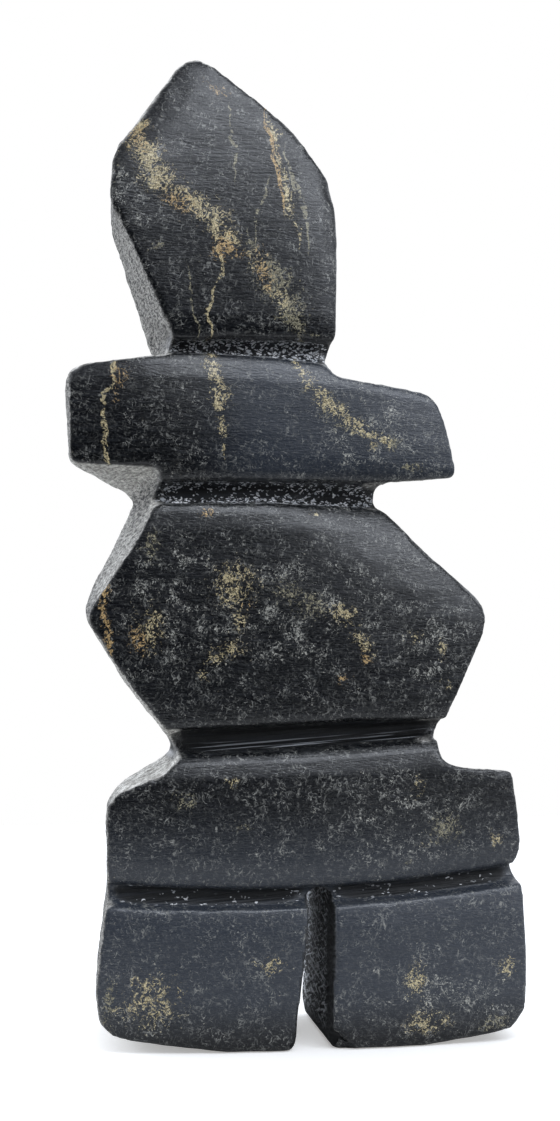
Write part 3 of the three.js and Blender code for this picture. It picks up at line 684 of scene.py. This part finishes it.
# %% Note the veins
# Each has its mineral, its dip, and points across and down with its width there, in pixels.
VEINS = [
    ("tan", 0.10, [(266, 112, 2), (272, 135, 5), (275, 157, 6), (281, 182, 7), (285, 204, 3)]),
    ("cream", 0.10, [(269, 112, 3), (276, 140, 7), (281, 165, 9), (288, 190, 14), (292, 210, 14),
                     (300, 237, 3)]),
    ("cream", -0.20, [(219, 228, 6), (222, 250, 5), (225, 268, 5), (215, 287, 4), (213, 300, 4),
                      (211, 315, 4), (214, 334, 2)]),
    ("olive", -0.15, [(291, 150, 2), (298, 170, 8), (303, 185, 9), (309, 215, 5), (313, 245, 2)]),
    ("olive", 0.15, [(229, 105, 2), (232, 132, 4), (236, 155, 4), (235, 172, 2)]),
    ("olive", -0.10, [(191, 272, 2), (194, 295, 3), (197, 312, 3), (201, 332, 2)]),
    ("olive", 0.20, [(268, 180, 2), (258, 210, 4), (256, 240, 2)]),
    ("cream", -0.15, [(118, 366, 6), (115, 384, 7), (107, 398, 7), (109, 424, 7), (109, 446, 7),
                      (112, 464, 6)]),
    ("cream", -0.20, [(217, 355, 12), (216, 374, 18), (221, 390, 20), (221, 407, 10), (224, 427, 9),
                      (227, 450, 4)]),
    ("olive", 0.25, [(292, 356, 6), (301, 376, 14), (318, 391, 30), (335, 408, 36), (350, 424, 36),
                     (366, 434, 38), (392, 444, 12)]),
    ("cream", 0.25, [(294, 358, 6), (301, 372, 14), (316, 389, 24), (333, 406, 28), (350, 422, 27),
                     (368, 434, 26), (386, 444, 8)]),
    ("tan", -0.20, [(119, 562, 2), (110, 588, 9), (107, 606, 10), (111, 630, 11), (114, 656, 4)]),
    ("cream", 0.20, [(134, 105, 8), (142, 140, 34), (158, 176, 42), (190, 198, 54), (214, 216, 34),
                     (228, 238, 24), (250, 258, 4)]),
    ("olive", 0.20, [(250, 240, 8), (266, 266, 34), (280, 288, 44), (289, 308, 36), (299, 332, 14)]),
]
print("veins noted:", len(VEINS))

# %% Measure across and up in shares, for the curves to read
HIGH, WIDE = 131.0, 64.0
bent_place = add_node(tree, "SeparateXYZ", {0: bent}).outputs
across_share = add_node(tree, "Math", {0: bent_place["X"], 1: 1 / WIDE, 2: 0.5}, operation="MULTIPLY_ADD")
height_share = add_node(tree, "Math", {0: bent_place["Z"], 1: 1 / HIGH}, operation="MULTIPLY")


def lay_points(curve_node, spots, handle):
    """Lays a node's curve through the spots and keeps it level beyond both ends."""
    curve = curve_node.mapping.curves[0]
    curve.points[0].location, curve.points[1].location = (0.0, spots[0][1]), (1.0, spots[-1][1])
    for spot in spots:
        curve.points.new(*spot)
    for point in curve.points:
        point.handle_type = handle
    curve_node.mapping.update()


print("the curves span, mm:", WIDE, HIGH)

# %% Draw the sheets
# How firm a vein is, the share of it that is full, and how far it spreads beyond its noted width.
NARROW_VEIN, BROAD_VEIN, NARROW_UNDER = (1.3, 0.5, 1.0), (1.12, 0.95, 1.8), 10
TAPER, LOWEST, HIGHEST = 0.012, 0.001, 0.999
veins = {"tan": [], "cream": [], "olive": []}
for kind, dip, points in VEINS:
    narrow = max(wide for _, _, wide in points) < NARROW_UNDER
    firm, core, spread_out = NARROW_VEIN if narrow else BROAD_VEIN
    ordered = sorted(on_front(across, down)[::-1] + (wide,) for across, down, wide in points)
    low, high = ordered[0][0] / MM / HIGH, ordered[-1][0] / MM / HIGH
    line = add_node(tree, "FloatCurve", {"Value": height_share})
    lay_points(line, [(z / MM / HIGH, x / MM / WIDE + 0.5) for z, x, _ in ordered], "AUTO")
    widths = [(z / MM / HIGH, spread_out * wide * PIXEL / MM / 2 / WIDE) for z, _, wide in ordered]
    start, end = (max(low - TAPER, LOWEST), 0.0), (min(high + TAPER, HIGHEST), 0.0)
    breadth = add_node(tree, "FloatCurve", {"Value": height_share})
    lay_points(breadth, [start] + widths + [end], "VECTOR")
    dipped = add_node(tree, "Math", {0: bent_place["Y"], 1: -dip / WIDE, 2: across_share},
                      operation="MULTIPLY_ADD")
    from_front = add_node(tree, "Math", {0: dipped, 1: dip * FRONT / MM / WIDE}, operation="ADD")
    gap = add_node(tree, "Math", {0: from_front, 1: line}, operation="SUBTRACT")
    gap = add_node(tree, "Math", {0: gap}, operation="ABSOLUTE")
    inside = add_node(tree, "Math", {0: breadth, 1: gap}, operation="SUBTRACT")
    share = add_node(tree, "Math", {0: inside, 1: breadth}, operation="DIVIDE")
    veins[kind].append(add_node(tree, "MapRange", {"Value": share, "From Min": 0.0, "From Max": core,
                                                   "To Max": firm}))
print("veins drawn:", sum(len(sheets) for sheets in veins.values()))

# %% [markdown]
# ## Pockets and veins as lace
# A pocket or a vein isn't a solid patch. It is coarser lace of the same kind as the threads, filled with
# specks 0.4 mm across that crowd together in its middle. Its strength, from the mesh or from a sheet,
# sets how much of the lace and the specks passes a threshold.

# %% Break pockets and veins into lace and specks
# The dark and the pale tone of each mineral, and how far its strength lifts the lace.
TINTS = {
    "ash": ("#3a3a37", "#c6c5bc", 0.36),
    "olive": ("#38372f", "#aea78c", 0.34),
    "cream": ("#544930", "#e8d8ac", 0.34),
    "tan": ("#64502f", "#e2c08a", 0.37),
}
LACE_SHARE, SPECK_SHARE = 0.40, 0.62
drift = add_node(tree, "MapRange", {"Value": mottle, "From Min": 0.34, "From Max": 0.70})
patchy = add_node(tree, "MapRange", {"Value": mottle, "From Min": 0.38, "From Max": 0.60,
                                     "To Min": 0.6, "To Max": 1.25})
some_specks = add_node(tree, "Math", {0: specks, 1: SPECK_SHARE}, operation="MULTIPLY")
crowd = add_node(tree, "Math", {0: lace, 1: LACE_SHARE, 2: some_specks}, operation="MULTIPLY_ADD")
pale_or_deep = add_node(tree, "MapRange", {"Value": fine_grain, "From Min": 0.38, "From Max": 0.60})
for kind, (deep, pale, lift) in TINTS.items():
    strength = measure[kind]
    if kind == "ash":
        spread = add_node(tree, "Math", {0: strength, 1: 0.65, 2: 0.35}, operation="MULTIPLY_ADD")
        strength = add_node(tree, "Math", {0: spread, 1: drift}, operation="MULTIPLY")
    for vein in veins.get(kind, []):
        strength = add_node(tree, "Math", {0: strength, 1: vein}, operation="MAXIMUM")
    if kind != "ash":
        strength = add_node(tree, "Math", {0: strength, 1: patchy}, operation="MULTIPLY")
    lifted = add_node(tree, "Math", {0: strength, 1: lift, 2: crowd}, operation="MULTIPLY_ADD")
    shown = add_node(tree, "MapRange", {"Value": lifted, "From Min": 0.83, "From Max": 0.90, "To Max": 0.95})
    tint = add_node(tree, "Mix", {0: pale_or_deep, 6: from_hex(deep), 7: from_hex(pale)}, data_type="RGBA")
    surface = add_node(tree, "Mix", {0: shown, 6: surface, 7: tint.outputs[2]}, data_type="RGBA").outputs[2]
print("minerals:", list(TINTS))

# %% [markdown]
# ## Rough places and grooves
# The sawn sides were never sanded. Their broken grain scatters light, so they look a paler grey and
# sparkle with crystal faces, and painted light makes them paler still. Ledges get a near-white painted
# highlight. The grooves are darkened with painted shade, and along their lips, where the file tore the
# stone, grains get painted glints. Each place gets its tone as a mix of a dark and a pale colour.

# %% Draw the broken grain and the saw's hatching
STROKE_LONG, STROKE_APART = 1.6, 0.26
strokes = drawn_lines(24, STROKE_LONG, STROKE_APART, 2)
half_specks = add_node(tree, "Math", {0: specks, 1: 0.5}, operation="MULTIPLY")
stroked = add_node(tree, "Math", {0: strokes, 1: 0.5, 2: half_specks}, operation="MULTIPLY_ADD")
rough_grain = add_node(tree, "MapRange", {"Value": stroked, "From Min": 0.42, "From Max": 0.60})
few_specks = add_node(tree, "Math", {0: specks, 1: 0.4}, operation="MULTIPLY")
hatched = add_node(tree, "Math", {0: sawed, 1: 0.6, 2: few_specks}, operation="MULTIPLY_ADD")
hatch = add_node(tree, "MapRange", {"Value": hatched, "From Min": 0.53, "From Max": 0.59})
hatch = add_node(tree, "Math", {0: hatch, 1: measure["saw_marks"]}, operation="MULTIPLY", use_clamp=True)
print("strokes on the sawn sides, mm long and apart:", STROKE_LONG, STROKE_APART)

# %% Tone the rough sides, the ledges, the slit and the grooves
# Painted shade: the grooves are darkened almost to black, as shade falls in them.
GROOVE_SHADE = 0.94
painted_groove_shade = add_node(tree, "Math", {0: measure["groove"], 1: GROOVE_SHADE}, operation="MULTIPLY")
ridge = add_node(tree, "MapRange", {"Value": filed, "From Min": 0.52, "From Max": 0.74})
TONES = [
    # The sawn sides' pale tone is their broken grain, raised further with painted light.
    (measure["rough_side"], rough_grain, "#232426", "#c2bfb8"),
    # Painted highlight: ledges that face up or down get a near-white tone that stands in for bright light on
    # them.
    (measure["painted_ledge_light"], rough_grain, "#928e87", "#fffdf6"),
    (measure["slit"], hatch, "#040608", "#f4f6fa"),
    # Painted shade in the grooves, with the file's ridges a little paler.
    (painted_groove_shade, ridge, "#010203", "#23272e"),
]
for amount, pattern, deep, pale in TONES:
    tone = add_node(tree, "Mix", {0: pattern, 6: from_hex(deep), 7: from_hex(pale)}, data_type="RGBA")
    surface = add_node(tree, "Mix", {0: amount, 6: surface, 7: tone.outputs[2]}, data_type="RGBA").outputs[2]
print("places toned:", len(TONES))

# %% Paint highlights on the file's lines in the waist groove
LINE_LONG, LINE_APART = 22.0, 0.24
thin_lines = drawn_lines(4, LINE_LONG, LINE_APART, 2)
painted_ridge_highlight = add_node(tree, "MapRange", {"Value": thin_lines, "From Min": 0.55, "From Max": 0.61})
painted_ridge_highlight = add_node(tree, "Math", {0: painted_ridge_highlight, 1: measure["painted_file_shine"]}, operation="MULTIPLY",
                        use_clamp=True)
surface = add_node(tree, "Mix", {0: painted_ridge_highlight, 6: surface, 7: from_hex("#a2a5a9")},
                   data_type="RGBA").outputs[2]
print("bright file lines, mm apart:", LINE_APART)

# %% Paint glints on the grains along the grooves
# Each cell of a grain pattern gets a painted glint where its own random number is below the measure of
# painted glints.
GRAIN_LONG, GRAIN_THICK = 0.62, 0.34
stretched = add_node(tree, "VectorMath", {0: shaken, 1: (1 / GRAIN_LONG, 1 / GRAIN_THICK, 1 / GRAIN_THICK)},
                     operation="MULTIPLY")
crystals = add_node(tree, "TexVoronoi", {"Vector": stretched, "Scale": 1.0}, feature="F1").outputs
chosen = add_node(tree, "SeparateXYZ", {0: crystals["Color"]}).outputs
stands_out = add_node(tree, "Math", {0: measure["painted_glints"], 1: chosen["Y"]}, operation="SUBTRACT")
stands_out = add_node(tree, "MapRange", {"Value": stands_out, "From Min": 0.0, "From Max": 0.08})
body = add_node(tree, "MapRange", {"Value": crystals["Distance"], "From Min": 0.34, "From Max": 0.50,
                                   "To Min": 1.0, "To Max": 0.0})
grain_tone = add_node(tree, "Mix", {0: chosen["X"], 6: from_hex("#b9bdc2"), 7: from_hex("#ffffff")},
                      data_type="RGBA").outputs[2]
glints = add_node(tree, "Math", {0: stands_out, 1: body}, operation="MULTIPLY")
surface = add_node(tree, "Mix", {0: glints, 6: surface, 7: grain_tone}, data_type="RGBA").outputs[2]
print("torn grains, mm:", GRAIN_LONG, GRAIN_THICK)

# %% [markdown]
# ## Gloss and fine relief
# Waxed and sanded stone has a satin gloss, a little rougher where the scratches lie. The sawn sides, the
# ledges and the slit stay matt. The scratches, specks, ridges and cuts also tip the surface a little, which
# bump nodes give at their real depth, one laid over the other.

# %% Give the surface its gloss
# Waxed and sanded stone is about 0.3 rough, and sawn stone about 0.8. Wax keeps the grooves in between.
SATIN, BARE_ROUGH, GROOVE_MATT = (0.24, 0.34), 0.82, 0.6
gloss = add_node(tree, "MapRange", {"Value": lined, "From Min": 0.35, "From Max": 0.7,
                                    "To Min": SATIN[0], "To Max": SATIN[1]})
matt = add_node(tree, "Math", {0: measure["groove"], 1: GROOVE_MATT}, operation="MULTIPLY")
for bare in ("rough_side", "painted_ledge_light", "slit"):
    matt = add_node(tree, "Math", {0: matt, 1: measure[bare]}, operation="MAXIMUM")
gloss = add_node(tree, "Mix", {0: matt, 2: gloss, 3: BARE_ROUGH})
tree.links.new(gloss.outputs[0], shader.inputs["Roughness"])
print("roughness of the satin and of the bare stone:", SATIN, BARE_ROUGH)

# %% Give the surface its fine relief
SCRATCH_DEEP, SPECK_DEEP, BROKEN_DEEP, FILE_DEEP, SAW_DEEP = 0.07, 0.03, 0.35, 0.30, 0.35
broken = add_node(tree, "Math", {0: specks, 1: measure["rough_side"]}, operation="MULTIPLY")
ridges = add_node(tree, "Math", {0: filed, 1: measure["groove"]}, operation="MULTIPLY")
cuts = add_node(tree, "Math", {0: sawed, 1: measure["slit"]}, operation="MULTIPLY")
relief = add_node(tree, "Bump", {"Height": lined, "Distance": SCRATCH_DEEP * MM})
for height, deep in ((specks, SPECK_DEEP), (broken, BROKEN_DEEP), (ridges, FILE_DEEP), (cuts, SAW_DEEP)):
    relief = add_node(tree, "Bump", {"Height": height, "Distance": deep * MM, "Normal": relief})
tree.links.new(relief.outputs[0], shader.inputs["Normal"])
print("relief, mm:", SCRATCH_DEEP, SPECK_DEEP, BROKEN_DEEP, FILE_DEEP, SAW_DEEP)

# %% Join the colour to the shader and dress the carving
tree.links.new(surface, shader.inputs["Base Color"])
skin.materials.append(stone)
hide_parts("inukshuk")
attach(carving, "root")
print("nodes in the stone's material:", len(tree.nodes))
